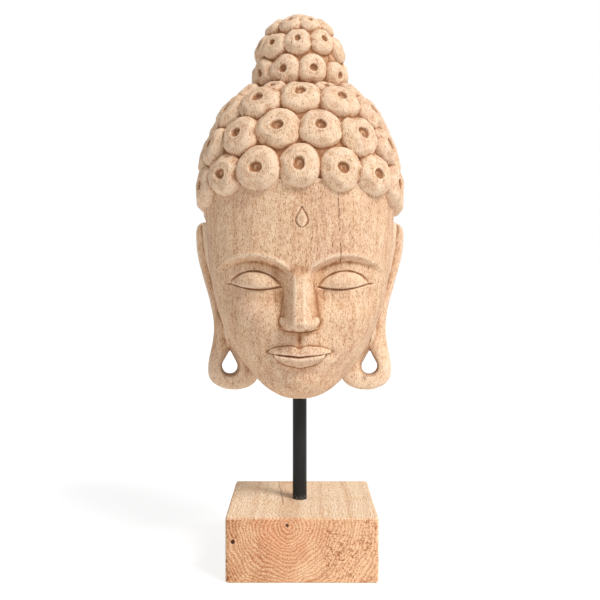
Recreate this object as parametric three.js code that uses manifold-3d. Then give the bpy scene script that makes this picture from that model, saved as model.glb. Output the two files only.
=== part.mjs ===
// A carved wooden Buddha head on a steel rod, standing on a wooden block.
// Millimetres, +Z up. The face looks along -Y, and the origin is the middle of the block's underside.
// The head is one carving: a bare form with the face in it, two long pierced ears and rows of curls.
import * as THREE from 'three';
import { mergeVertices } from 'three/addons/utils/BufferGeometryUtils.js';
import Module from 'manifold-3d';

const wasm = await Module();
wasm.setup();

// The block
const blockWidth = 130;
const blockDepth = 130;
const blockHeight = 55;
const blockCornerRadius = 2;
const blockEdgeBevel = 1.2;

// The rod and the blind holes that it is pushed into
const rodDiameter = 13;
const rodAside = -2; // the hole was drilled a little to the left of the block's middle
const rodShown = 98; // from the block's top to the level of the chin
const rodInBlock = 35;
const rodInHead = 62; // above the level of the chin
const rodSides = 24;
const holeGap = 0.3;

// The bare head, before the curls. Heights in the head count from the chin.
const faceHeight = 180; // chin to hairline
const headWidth = 172;
const foreheadDepth = 78; // from the rod's axis to the forehead
const skullDepth = 80; // from the rod's axis to the back of the skull
const napeDepth = 46;
const chinForward = 45; // how far the lowest point of the chin stands in front of the rod
const capHeight = 108; // hairline to the top of the skull
const jawRun = 4.2; // how far the underside runs back for each millimetre that it rises
const unit = faceHeight / 12; // a face is twelve units high in the old canon: three thirds of four

// The topknot
const topknotWidth = 74;
const topknotHeight = 52;
const topknotBack = 2;
const topknotLevel = faceHeight + capHeight;

// The curls
const curlPitch = 35.5;
const curlRowPitch = 33;
const curlHeight = 8.5;
const curlSides = 7;
const backCurlSides = 6;
const topknotCurlPitch = 25;
const topknotCurlHeight = 7;

// The ears
const earSpread = 192; // over both ears, at their top
const earWaistSpread = 157;
const lobeSpread = 171;
const earThickness = 12;
const lobeThickness = 15;
const earRootInset = 10; // how deep the ear's root is sunk into the side of the head
const lobeRootInset = 5;
const earEdgeBack = 26; // how far the ear's edge lies behind the rod's axis
const earWaistBack = 20;
const lobeEdgeBack = 14;
const earLength = 34; // from front to back
const earWaistLength = 25;
const lobeLength = 10;
const lobeHoleWidth = 14.6;
const lobeHoleHeight = 22;
const lobeHoleRise = 2.5; // above the middle of the lobe
const lobeHoleInset = 20.5; // from the lobe's outer edge to the middle of the hole

const chinLevel = blockHeight + rodShown;
const turn = 2 * Math.PI;

// Small helpers for smooth shapes
const clamp = (t) => Math.min(1, Math.max(0, t));
const share = (from, to, t) => clamp((t - from) / (to - from));
const ease = (from, to, t) => {
  const s = share(from, to, t);
  return s * s * (3 - 2 * s);
};
const mix = (a, b, t) => a + (b - a) * t;
const bell = (t) => Math.exp(-t * t);
const arch = (from, to, t) => Math.sin(Math.PI * share(from, to, t));
const oval = (t) => Math.sqrt(Math.max(0, 1 - t * t));
const signedPower = (t, p) => Math.sign(t) * Math.abs(t) ** p;
const softMin = (a, b, width) => {
  const s = Math.max(0, width - Math.abs(a - b)) / width;
  return Math.min(a, b) - (s * s * width) / 4;
};

// A closed mesh becomes a solid once the shared vertices of its seams are merged
function solid(geometry) {
  geometry.deleteAttribute('normal');
  geometry.deleteAttribute('uv');
  const merged = mergeVertices(geometry);
  const mesh = new wasm.Mesh({
    numProp: 3,
    vertProperties: new Float32Array(merged.attributes.position.array),
    triVerts: new Uint32Array(merged.index.array),
  });
  return new wasm.Manifold(mesh);
}

// A solid goes back to a geometry
function geometryOf(body) {
  const mesh = body.getMesh();
  const geometry = new THREE.BufferGeometry();
  geometry.setAttribute('position', new THREE.BufferAttribute(mesh.vertProperties, 3));
  geometry.setIndex(new THREE.BufferAttribute(mesh.triVerts, 1));
  geometry.computeVertexNormals();
  return geometry;
}

// A sphere's grid, bent so that each of its points lies where place(u, v) says
function bentSphere(columns, rows, place) {
  const geometry = new THREE.SphereGeometry(1, columns, rows);
  const { position, uv } = geometry.attributes;
  for (let i = 0; i < position.count; i += 1) {
    const point = place(clamp(Math.round(uv.getX(i) * columns) / columns), uv.getY(i));
    position.setXYZ(i, point.x, point.y, point.z);
  }
  return geometry;
}

// The bare head is a stack of level sections, from the chin to the crown
function halfWidth(h) {
  const side = headWidth / 2;
  if (h > faceHeight) return side * oval((h - faceHeight) / capHeight);
  return side * Math.sqrt(1 - clamp((faceHeight - h) / faceHeight) ** 2.4);
}

function frontOf(h) {
  if (h > faceHeight) return -foreheadDepth * oval((h - faceHeight) / capHeight);
  const belowBrow = clamp(1 - h / (9.8 * unit));
  return -mix(chinForward, foreheadDepth, Math.sqrt(1 - belowBrow ** 3));
}

function backOf(h) {
  if (h > faceHeight) return skullDepth * oval((h - faceHeight) / capHeight);
  const underside = -chinForward + h * jawRun;
  const nape = mix(napeDepth, skullDepth, ease(1.7 * unit, 10 * unit, h));
  return softMin(underside, nape, unit);
}

// A point of the bare head. The angle is 0 at the face and a quarter turn at the right side.
function headPoint(angle, h) {
  const fullness = 2 / 2.3;
  const front = frontOf(h);
  const back = backOf(h);
  const x = halfWidth(h) * signedPower(Math.sin(angle), fullness);
  const y = (front + back) / 2 + ((back - front) / 2) * -signedPower(Math.cos(angle), fullness);
  return new THREE.Vector3(x, y, h);
}

function headNormal(angle, h) {
  const step = 0.01;
  const around = headPoint(angle + step, h).sub(headPoint(angle - step, h));
  const up = headPoint(angle, h + 1).sub(headPoint(angle, h - 1));
  return around.cross(up).normalize();
}

// The face is relief on the front of the bare head, in units: s is the distance from the middle of the
// face and t the height above the chin. Each function gives how far its feature comes forward.
const browLine = (s) => 7.05 + 1.2 * arch(0.1, 5.3, s) ** 0.8;
const eyeLine = (s) => {
  const along = share(1.1, 3.9, s);
  return 6.5 - 0.2 * Math.sin(Math.PI * along) + 0.16 * along;
};
const eyeOpening = (s) => arch(1.05, 3.95, s);
const lidCrease = (s) => eyeLine(s) + 0.95 * eyeOpening(s) ** 0.7;
const mouthLine = (s) => 2.66 + 0.16 * share(0.2, 1.75, s) ** 2;
const upperLipEdge = (s) => mouthLine(s) + 0.56 * oval(clamp(s / 1.78)) * (1 - 0.22 * bell(s / 0.2));
const lowerLipEdge = (s) => mouthLine(s) - 0.62 * oval(clamp(s / 1.45));

function nose(s, t) {
  const down = share(7.85, 4.55, t);
  const height = 1.3 * down ** 1.1 * oval(share(4.7, 4, t)) ** 0.9;
  const side = 1 - share(mix(0.16, 0.24, down), mix(0.7, 1.05, down), s);
  const wingShare = 1 - ((s - 0.66) / 0.45) ** 2 - ((t - 4.46) / 0.42) ** 2;
  return Math.max(height * side, 0.68 * Math.sqrt(Math.max(0, wingShare)));
}

function socket(s, t) {
  const brow = browLine(s);
  const below = ease(brow, brow - 0.42, t) * ease(4.6, 6.2, t);
  const across = ease(0.25, 1, s) * (1 - ease(3.9, 5.3, s));
  return -mix(0.62, 0.3, share(1, 4.4, s)) * below * across;
}

function eyelid(s, t) {
  const line = eyeLine(s);
  const crease = lidCrease(s);
  const rise = (t - mix(line, crease, 0.4)) / (0.65 * (crease - line) + 0.01);
  const upper = 0.4 * eyeOpening(s) ** 0.8 * oval(rise) * ease(line - 0.1, line, t);
  const below = ease(line, line - 0.05, t) * (1 - ease(line - 0.28, line - 0.75, t));
  return upper + 0.13 * eyeOpening(s) ** 1.2 * below;
}

function lips(s, t) {
  const line = mouthLine(s);
  const upper = t > line ? 0.34 * share(upperLipEdge(s), line, t) * oval(clamp(s / 1.78)) : 0;
  const lower = t <= line ? 0.34 * arch(lowerLipEdge(s), line + 0.1, t) * oval(clamp(s / 1.45)) : 0;
  const mound = 0.34 * bell(s / 1.7) * bell((t - 2.8) / 1.25);
  const groove = -0.12 * bell(s / 0.17) * arch(upperLipEdge(s), 4.1, t);
  return upper + lower + mound + groove;
}

const cheek = (s, t) => 0.2 * bell((s - 2.7) / 1.25) * bell((t - 4.9) / 1.3);
const chin = (s, t) => 0.36 * bell(Math.hypot(s / 1.25, (t - 0.95) / 0.8));

function faceRelief(x, h) {
  const s = Math.abs(x) / unit;
  const t = h / unit;
  return unit * (nose(s, t) + socket(s, t) + eyelid(s, t) + lips(s, t) + cheek(s, t) + chin(s, t));
}

// The mask's rows are named by their height at the middle of a lip, lid or brow, and bend along it
function bentRow(t, s) {
  const mouthAway = ease(1.2, 2.6, s);
  const eyeAway = ease(4.2, 5.4, s);
  const guides = [
    [0, 0],
    [1.35, 1.35],
    [2.04, mix(lowerLipEdge(s), 2.04, mouthAway)],
    [2.66, mix(mouthLine(s), 2.66, mouthAway)],
    [3.22, mix(upperLipEdge(s), 3.22, mouthAway)],
    [3.96, 3.96],
    [5.25, 5.25],
    [6.4, mix(eyeLine(s), 6.4, eyeAway)],
    [7.3, mix(mix(eyeLine(s), browLine(s), 0.5), 7.3, eyeAway)],
    [8.25, mix(browLine(s), 8.25, eyeAway)],
    [9.6, 9.6],
    [maskTop + 1, maskTop + 1],
  ];
  const next = guides.findIndex(([plain]) => plain > t);
  const [low, high] = [guides[next - 1], guides[next]];
  return mix(low[1], high[1], share(low[0], high[0], t));
}

// The bare head is two shapes: a mask with a close grid for the face, and a skull with a wide one
const maskColumns = 24;
const maskHalfAngle = 1.62;
const maskTop = 12.5;
const skullColumns = 14;

function mask() {
  const chinRows = [0, 0.12, 0.35, 0.65, 1, 1.35, 1.7];
  const mouthRows = [2.04, 2.35, 2.62, 2.7, 2.95, 3.22, 3.6];
  const noseRows = [3.96, 4.12, 4.45, 4.8, 5.25, 5.7];
  const eyeRows = [6.1, 6.34, 6.42, 6.7, 7, 7.3, 7.6, 7.85];
  const foreheadRows = [8.1, 8.3, 8.55, 8.9, 9.6, 11, maskTop, maskTop];
  const rowsUp = [...chinRows, ...mouthRows, ...noseRows, ...eyeRows, ...foreheadRows];
  const columns = maskColumns + 2;
  const rows = rowsUp.length - 1;
  return solid(
    bentSphere(columns, rows, (u, v) => {
      const column = Math.round(u * columns) - 1;
      const t = rowsUp[Math.round(v * rows)];
      const plain = t * unit;
      const inside = column < 0 || column > maskColumns;
      if (v === 1 || inside) return new THREE.Vector3(0, mix(frontOf(plain), backOf(plain), 0.6), plain);
      const angle = maskHalfAngle * signedPower((2 * column) / maskColumns - 1, 1.2);
      const h = unit * bentRow(t, Math.abs(headPoint(angle, plain).x) / unit);
      const point = headPoint(angle, h);
      const facing = ease(1.45, 1, Math.abs(angle)) * ease(0, 0.4 * unit, h);
      point.y -= facing * faceRelief(point.x, h);
      return point;
    }),
  );
}

function skull() {
  const levels = [0, 0.5, 1.5, 4, 8].map((level) => level * unit);
  const capRows = 4;
  for (let i = 0; i <= capRows; i += 1) {
    levels.push(faceHeight + capHeight * Math.sin((i / capRows) * (Math.PI / 2)));
  }
  const rows = levels.length - 1;
  return solid(
    bentSphere(skullColumns, rows, (u, v) => {
      const h = levels[Math.round(v * rows)];
      const angle = u * turn;
      const point = headPoint(angle, h);
      const behindMask = ease(1.7, 1.3, Math.min(angle, turn - angle)) * (1 - ease(0, unit, h - faceHeight));
      const shrink = mix(0.16, 0.04, ease(8 * unit, 12 * unit, h)) * behindMask;
      return point.lerp(new THREE.Vector3(0, mix(frontOf(h), backOf(h), 0.6), h), shrink);
    }),
  );
}

// The topknot is an egg with full shoulders that sits in the top of the skull
function topknotPoint(angle, rise) {
  const radius = (topknotWidth / 2) * Math.abs(Math.cos(rise)) ** 0.75;
  return new THREE.Vector3(
    radius * Math.sin(angle),
    topknotBack - radius * Math.cos(angle),
    topknotLevel + topknotHeight * Math.sin(rise),
  );
}

function topknot() {
  return solid(bentSphere(14, 8, (u, v) => topknotPoint(u * turn, (v - 0.5) * Math.PI)));
}

// A curl is a button with a rounded shoulder and a scooped middle
function curlGeometry(radius, height, sides) {
  const buried = height * 1.3;
  const profile = [
    [0, height * 0.5],
    [radius * 0.26, height],
    [radius * 0.8, height * 0.6],
    [radius, -buried],
    [0, -buried],
  ].map(([r, z]) => new THREE.Vector2(r, z));
  return new THREE.LatheGeometry(profile.reverse(), sides).rotateX(Math.PI / 2);
}

function placedCurl(point, normal, radius, height, sides) {
  const side = new THREE.Vector3(-normal.y, normal.x, 0).normalize();
  if (side.length() === 0) side.set(1, 0, 0);
  const up = normal.clone().cross(side);
  const frame = new THREE.Matrix4().makeBasis(side, up, normal).setPosition(point);
  return solid(curlGeometry(radius, height, sides).applyMatrix4(frame));
}

// How high a row lies, climbing the midline from a start at the front or the back of the head
function climb(start, distance, angle) {
  let h = start;
  for (let gone = 0; gone < Math.abs(distance); gone += 1) {
    const here = headPoint(angle, h);
    const step = headPoint(angle, h + 1).distanceTo(here);
    h += Math.sign(distance) / step;
  }
  return h;
}

// Rows count from the hairline: negative rows run round the nape, behind the ears. A row is walked
// round at half the height of its curls, and its curls stand evenly along that walk.
function curlRow(row) {
  const front = climb(faceHeight + 0.56 * curlRowPitch, row * curlRowPitch, 0);
  const back = climb(0.84 * faceHeight, row * curlRowPitch, Math.PI);
  const level = (angle) => mix(front, back, clamp(Math.abs(angle) / Math.PI) ** 1.4);
  const steps = 360;
  const walk = [];
  let length = 0;
  for (let i = 0; i <= steps; i += 1) {
    const angle = (i / steps) * turn - Math.PI;
    const h = level(angle);
    const point = headPoint(angle, h).addScaledVector(headNormal(angle, h), curlHeight / 2);
    if (i > 0) length += point.distanceTo(walk[i - 1].point);
    walk.push({ angle, h, point, length });
  }
  const count = Math.round(length / curlPitch);
  const start = length / 2 + ((row % 2) * length) / count / 2;
  const spots = [];
  for (let i = 0; i < count; i += 1) {
    const reach = (start + (i * length) / count + length) % length;
    spots.push(walk.find((stop) => stop.length >= reach));
  }
  return spots;
}

// Below the hairline the curls start behind the ears, and the lowest row is short
const earAngle = 1.8;
const napeEdge = (away) => mix(4.2, 2.4, ease(1.9, 2.8, away)) * unit;

// The fourth row is small in front, where it is tucked in beside the topknot, and a fifth fills the back
function hairCurls() {
  const curls = [];
  for (let row = -4; row <= 4; row += 1) {
    for (const spot of curlRow(row)) {
      const away = Math.abs(spot.angle);
      const behindEar = row >= 0 || away > earAngle;
      const behindTopknot = row < 4 || away > 2;
      if (!behindEar || !behindTopknot || spot.h < napeEdge(away)) continue;
      const size = row === 3 ? mix(0.6, 1, ease(0.8, 1.6, away)) : 1;
      const h = spot.h - 0.7 * curlPitch * (1 - size);
      const point = headPoint(spot.angle, h);
      const sides = away > earAngle ? backCurlSides : curlSides;
      const normal = headNormal(spot.angle, h);
      curls.push(placedCurl(point, normal, size * curlPitch * 0.6, size * curlHeight, sides));
    }
  }
  return curls;
}

// The topknot's curls get smaller as they climb, and one closes the top
function topknotCurls() {
  const curls = [];
  const rows = 4;
  for (let row = 0; row < rows; row += 1) {
    const last = row === rows - 1;
    const size = last ? 0.8 : 1 - 0.055 * row ** 2;
    const pitch = topknotCurlPitch * size;
    const rise = last ? Math.PI / 2 : row * 0.5;
    const round = Math.PI * (topknotWidth * Math.cos(rise) + topknotCurlHeight);
    const count = last ? 1 : Math.round(round / pitch);
    for (let i = 0; i < count; i += 1) {
      const angle = ((i + 0.5) / count) * turn;
      const outward = topknotHeight * Math.cos(rise);
      const upward = (topknotWidth / 2) * Math.sin(rise);
      const normal = new THREE.Vector3(Math.sin(angle) * outward, -Math.cos(angle) * outward, upward);
      const point = topknotPoint(angle, rise);
      curls.push(placedCurl(point, normal.normalize(), pitch * 0.6, topknotCurlHeight * size, backCurlSides));
    }
  }
  return curls;
}

// An ear is a long plate that faces sideways at its top and turns to the front at its lobe
const earTop = 10.4 * unit;
const earShoulder = 9.5 * unit;
const earWaist = 3.8 * unit;
const lobeMiddle = 1.35 * unit;
const lobeBottom = 0.05 * unit;

function earStation(h) {
  const low = ease(earWaist, lobeMiddle, h);
  const high = ease(earWaist, earShoulder, h);
  const blend = (top, waist, lobe) => mix(mix(waist, top, high), lobe, low);
  const sideX = blend(headWidth / 2, halfWidth(earWaist), halfWidth(lobeMiddle));
  const edgeY = blend(earEdgeBack, earWaistBack, lobeEdgeBack);
  return {
    rootX: sideX - blend(earRootInset, lobeRootInset, lobeRootInset),
    rootY: edgeY - blend(earLength, earWaistLength, lobeLength),
    edgeX: blend(earSpread, earWaistSpread, lobeSpread) / 2,
    edgeY,
    thickness: blend(earThickness, earThickness, lobeThickness),
  };
}

function earSection(h) {
  const s = earStation(h);
  let narrowing = 1;
  if (h > earShoulder) narrowing = oval(((h - earShoulder) / (earTop - earShoulder)) ** 1.8);
  if (h < lobeMiddle) narrowing = oval(((lobeMiddle - h) / (lobeMiddle - lobeBottom)) ** 1.35);
  const root = new THREE.Vector2(s.rootX, s.rootY);
  const edge = new THREE.Vector2(s.edgeX, s.edgeY);
  return {
    middle: root.clone().add(edge).multiplyScalar(0.5),
    along: edge.clone().sub(root).normalize(),
    halfLength: (root.distanceTo(edge) / 2) * narrowing,
    halfThickness: (s.thickness / 2) * Math.sqrt(narrowing),
  };
}

function ear(side) {
  const columns = 10;
  const rows = 17;
  const hollowDepth = earThickness * 0.35;
  const plate = bentSphere(columns, rows, (u, v) => {
    const h = mix(lobeBottom, earTop, 0.5 - 0.5 * Math.cos(Math.PI * v));
    const section = earSection(h);
    const angle = side * u * turn;
    const acrossShare = signedPower(Math.cos(angle), 0.75);
    const outShare = signedPower(Math.sin(angle), 0.75);
    const hollow = hollowDepth * clamp(-outShare) * bell(acrossShare / 0.5) * arch(5 * unit, 10 * unit, h);
    const across = section.halfLength * acrossShare;
    const out = section.halfThickness * outShare + hollow;
    return new THREE.Vector3(
      side * (section.middle.x + section.along.x * across - section.along.y * out),
      section.middle.y + section.along.y * across + section.along.x * out,
      h,
    );
  });
  return solid(plate).subtract(lobeHole(side));
}

// A drop: a round foot and two straight flanks that touch it, meeting in a point
function dropShape(width, height) {
  const r = width / 2;
  const touch = Math.asin(r / (height - r));
  const shape = new THREE.Shape();
  shape.moveTo(0, height - r);
  shape.lineTo(-r * Math.cos(touch), r * Math.sin(touch));
  shape.absarc(0, 0, r, Math.PI - touch, turn + touch, false);
  shape.closePath();
  return shape;
}

function lobeHole(side) {
  const depth = 80;
  const hole = new THREE.ExtrudeGeometry(dropShape(lobeHoleWidth, lobeHoleHeight), {
    depth,
    bevelEnabled: false,
    curveSegments: 10,
  });
  hole.rotateX(Math.PI / 2).translate(0, depth / 2, 0);
  const middle = lobeSpread / 2 - lobeHoleInset;
  return solid(hole.translate(side * middle, 0, lobeMiddle + lobeHoleRise));
}

function rodShape(radius, from, to) {
  const geometry = new THREE.CylinderGeometry(radius, radius, to - from, rodSides).rotateX(Math.PI / 2);
  return geometry.translate(0, 0, (from + to) / 2);
}

function headGeometry() {
  let head = mask().add(skull()).add(topknot()).add(ear(1)).add(ear(-1));
  for (const curl of [...hairCurls(), ...topknotCurls()]) head = head.add(curl);
  const hole = rodShape(rodDiameter / 2 + holeGap, -rodShown / 2, rodInHead + holeGap);
  return geometryOf(head.subtract(solid(hole)));
}

function blockGeometry() {
  const x = blockWidth / 2 - blockEdgeBevel;
  const y = blockDepth / 2 - blockEdgeBevel;
  const r = blockCornerRadius;
  const outline = new THREE.Shape();
  outline.absarc(x - r, y - r, r, 0, turn / 4, false);
  outline.absarc(r - x, y - r, r, turn / 4, turn / 2, false);
  outline.absarc(r - x, r - y, r, turn / 2, turn * 0.75, false);
  outline.absarc(x - r, r - y, r, turn * 0.75, turn, false);
  outline.closePath();
  const body = new THREE.ExtrudeGeometry(outline, {
    depth: blockHeight - 2 * blockEdgeBevel,
    bevelSize: blockEdgeBevel,
    bevelThickness: blockEdgeBevel,
    bevelSegments: 1,
    curveSegments: 2,
  });
  body.translate(0, 0, blockEdgeBevel);
  const holeFloor = blockHeight - rodInBlock - holeGap;
  const hole = rodShape(rodDiameter / 2 + holeGap, holeFloor, blockHeight + rodShown / 2);
  return geometryOf(solid(body).subtract(solid(hole.translate(rodAside, 0, 0))));
}

const wood = new THREE.MeshStandardMaterial({ color: '#e3be98', roughness: 0.8 });
const blockWood = new THREE.MeshStandardMaterial({ color: '#e0b182', roughness: 0.75 });
const blackSteel = new THREE.MeshStandardMaterial({ color: '#232323', roughness: 0.45, metalness: 0.6 });

function named(name, geometry, material) {
  const mesh = new THREE.Mesh(geometry, material);
  mesh.name = name;
  return mesh;
}

const head = named('buddha_head', headGeometry(), wood);
head.position.set(rodAside, 0, chinLevel);
const rodLength = rodInBlock + rodShown + rodInHead;
const rod = named('rod', rodShape(rodDiameter / 2, 0, rodLength), blackSteel);
rod.position.set(rodAside, 0, blockHeight - rodInBlock);
const block = named('base_block', blockGeometry(), blockWood);

const statue = new THREE.Group();
statue.add(block, rod, head);
export default statue;
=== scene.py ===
# A carved wooden Buddha head on a black steel rod, standing on a wooden block.
# Shapes are worked out in millimetres, and the head's own heights count from the chin.
import math
import random

import bpy
import numpy as np
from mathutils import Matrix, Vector, noise


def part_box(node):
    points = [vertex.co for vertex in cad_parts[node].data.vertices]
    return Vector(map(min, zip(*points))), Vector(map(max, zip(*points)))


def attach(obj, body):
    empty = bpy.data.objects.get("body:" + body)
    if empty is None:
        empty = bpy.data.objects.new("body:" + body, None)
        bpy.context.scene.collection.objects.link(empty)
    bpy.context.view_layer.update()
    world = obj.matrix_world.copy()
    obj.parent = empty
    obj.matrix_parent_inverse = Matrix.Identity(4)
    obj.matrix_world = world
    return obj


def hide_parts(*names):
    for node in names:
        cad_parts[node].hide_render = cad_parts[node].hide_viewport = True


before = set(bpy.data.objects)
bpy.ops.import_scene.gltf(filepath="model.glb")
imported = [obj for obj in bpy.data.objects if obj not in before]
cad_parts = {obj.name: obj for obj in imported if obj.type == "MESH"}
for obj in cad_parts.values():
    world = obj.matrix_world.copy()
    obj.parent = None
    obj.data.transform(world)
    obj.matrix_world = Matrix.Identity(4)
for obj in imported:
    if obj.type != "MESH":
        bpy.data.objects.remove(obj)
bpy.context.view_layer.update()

mm = 0.001
turn = 2 * math.pi
chance = random.Random(7)

# The solids give the places that the carving has to meet
headLow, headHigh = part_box("buddha_head")
rodLow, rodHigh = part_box("rod")
blockLow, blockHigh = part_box("base_block")
chinLevel = headLow[2] / mm
rodMiddle = (rodLow[0] + rodHigh[0]) / 2 / mm

# A short telephoto, level, a little above the middle of the part
view = {"lens": 51.2, "place": (-1.7, -785, 262), "shiftUp": -0.045}
cameraData = bpy.data.cameras.new("camera")
cameraData.lens = view["lens"]
cameraData.shift_y = view["shiftUp"]
camera = bpy.data.objects.new("camera", cameraData)
camera.location = [distance * mm for distance in view["place"]]
camera.rotation_euler = (math.radians(90), 0, 0)
bpy.context.collection.objects.link(camera)
bpy.context.scene.camera = camera
print("camera done")


# Curves that the carving is drawn with
def clamp(t):
    return np.clip(t, 0.0, 1.0)


def share(start, end, t):
    return clamp((t - start) / (end - start))


def ease(start, end, t):
    s = share(start, end, t)
    return s * s * (3 - 2 * s)


def mix(a, b, t):
    return a + (b - a) * t


def bell(t):
    return np.exp(-t * t)


def arch(start, end, t):
    return np.sin(np.pi * share(start, end, t))


def oval(t):
    return np.sqrt(np.maximum(0, 1 - t * t))


def signedPower(t, p):
    return np.sign(t) * np.abs(t) ** p


def unitVectors(v):
    return v / np.maximum(np.linalg.norm(v, axis=-1, keepdims=True), 1e-9)


# The bare head is a stack of level sections from the chin to the crown. Depths count from the rod.
head = {
    "faceHeight": 180,  # chin to hairline
    "capHeight": 108,  # hairline to crown
    "width": 172,
    "foreheadDepth": 78,
    "skullDepth": 80,
    "napeDepth": 46,
    "chinForward": 45,
    "jawRun": 4.2,  # how fast the underside runs back from the chin
    "sideCurve": 2.4,  # how full the cheeks are above the chin
    "browUnits": 9.8,  # where the forehead stands furthest forward
    "fullness": 2 / 2.3,  # 1 is an ellipse, less is squarer
    "core": 0.6,  # the line that the shells close on, as a share of the way from front to back
}
faceHeight, capHeight = head["faceHeight"], head["capHeight"]
unit = faceHeight / 12  # the face is measured in twelfths of its height


def halfWidth(h):
    below = np.sqrt(1 - clamp((faceHeight - h) / faceHeight) ** head["sideCurve"])
    return head["width"] / 2 * np.where(h > faceHeight, oval((h - faceHeight) / capHeight), below)


def frontOf(h):
    belowBrow = clamp(1 - h / (head["browUnits"] * unit))
    below = mix(head["chinForward"], head["foreheadDepth"], np.sqrt(1 - belowBrow**3))
    above = head["foreheadDepth"] * oval((h - faceHeight) / capHeight)
    return -np.where(h > faceHeight, above, below)


def backOf(h):
    underside = -head["chinForward"] + h * head["jawRun"]
    nape = mix(head["napeDepth"], head["skullDepth"], ease(1.7 * unit, 10 * unit, h))
    near = np.maximum(0, unit - np.abs(underside - nape)) / unit
    below = np.minimum(underside, nape) - near * near * unit / 4
    return np.where(h > faceHeight, head["skullDepth"] * oval((h - faceHeight) / capHeight), below)


def headPoint(angle, h):
    angle, h = np.broadcast_arrays(np.asarray(angle, float), np.asarray(h, float))
    front, back = frontOf(h), backOf(h)
    x = halfWidth(h) * signedPower(np.sin(angle), head["fullness"])
    y = (front + back) / 2 - (back - front) / 2 * signedPower(np.cos(angle), head["fullness"])
    return np.stack([x, y, h], -1)


def headNormal(angle, h):
    around = headPoint(angle + 0.01, h) - headPoint(angle - 0.01, h)
    up = headPoint(angle, np.asarray(h) + 1) - headPoint(angle, np.asarray(h) - 1)
    return unitVectors(np.cross(around, up))


# Mesh makers. A closed grid is a tube of rings with both ends shut by a fan.
def closedGrid(rings):
    rows, columns = rings.shape[:2]
    corners = np.arange(rows * columns).reshape(rows, columns)
    after = np.roll(corners, -1, axis=1)
    quads = np.stack([corners[:-1], after[:-1], after[1:], corners[1:]], -1).reshape(-1, 4)
    ends = np.stack([rings[0].mean(0), rings[-1].mean(0)])
    low, high = rows * columns, rows * columns + 1
    fans = [(low, b, a) for a, b in zip(corners[0], after[0])]
    fans += [(high, a, b) for a, b in zip(corners[-1], after[-1])]
    return np.concatenate([rings.reshape(-1, 3), ends]), quads.tolist() + fans


def joinedShells(shells):
    vertices, faces, start = [], [], 0
    for points, shellFaces in shells:
        vertices.append(points)
        faces += [tuple(int(i) + start for i in corners) for corners in shellFaces]
        start += len(points)
    return np.concatenate(vertices), faces


def toWorld(points):
    return (points + np.array([rodMiddle, 0, chinLevel])) * mm


def meshObject(name, vertices, faces):
    mesh = bpy.data.meshes.new(name)
    mesh.from_pydata(vertices.tolist(), [], faces)
    mesh.shade_smooth()
    piece = bpy.data.objects.new(name, mesh)
    bpy.context.collection.objects.link(piece)
    return piece


def applyModifiers(piece):
    graph = bpy.context.evaluated_depsgraph_get()
    mesh = bpy.data.meshes.new_from_object(piece.evaluated_get(graph))
    piece.modifiers.clear()
    old = piece.data
    piece.data = mesh
    bpy.data.meshes.remove(old)


def meshVectors(mesh, kind="points"):
    vectors = np.empty(len(mesh.vertices) * 3)
    if kind == "points":
        mesh.vertices.foreach_get("co", vectors)
    else:
        mesh.vertex_normals.foreach_get("vector", vectors)
    return vectors.reshape(-1, 3)


# Values kept on the mesh, which the wood reads for its marks, its painted shade and its painted highlights
def keepValues(piece, name, values):
    layer = piece.data.attributes.new(name, "FLOAT", "POINT")
    layer.data.foreach_set("value", values.astype(np.float32))


# Shallow flats left by the gouge, drawn out along the grain: depth in mm, then waves per mm across and along
gouge = {"broad": (0.4, 0.11, 0.05), "fine": (0.1, 0.4, 0.14), "fineStart": 40}


def carve(piece):
    points, normals = meshVectors(piece.data), meshVectors(piece.data, "normals")
    (broadDepth, broadAcross, broadAlong), (fineDepth, fineAcross, fineAlong) = gouge["broad"], gouge["fine"]
    depth = np.empty(len(points))
    for i, (x, y, z) in enumerate(points / mm):
        broad = noise.noise(Vector((x * broadAcross, y * broadAcross, z * broadAlong)))
        fine = noise.noise(Vector((x * fineAcross, y * fineAcross, z * fineAlong + gouge["fineStart"])))
        depth[i] = broadDepth * broad + fineDepth * fine
    piece.data.vertices.foreach_set("co", (points + normals * depth[:, None] * mm).ravel())
    piece.data.update()


# How far each point lies below its smoothed neighbourhood. From it the wood paints shade into the hollows and
# creases and paints highlights on the ridges and edges. Each mark has its rounds of smoothing and the depth in
# millimetres that counts as full.
def markHollows(piece, marks):
    mesh = piece.data
    points, normals = meshVectors(mesh) / mm, meshVectors(mesh, "normals")
    edges = np.empty(len(mesh.edges) * 2, dtype=np.int64)
    mesh.edges.foreach_get("vertices", edges)
    a, b = edges.reshape(-1, 2).T
    size = len(points)
    count = np.maximum(np.bincount(a, minlength=size) + np.bincount(b, minlength=size), 1)[:, None]
    for name, (rounds, fullDepth) in marks.items():
        smooth = points.copy()
        for _ in range(rounds):
            sums = [np.bincount(a, smooth[b, k], size) + np.bincount(b, smooth[a, k], size) for k in range(3)]
            smooth = np.stack(sums, -1) / count
        hollow = ((smooth - points) * normals).sum(-1) / fullDepth
        keepValues(piece, name, np.clip(hollow, -1, 1))


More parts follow.
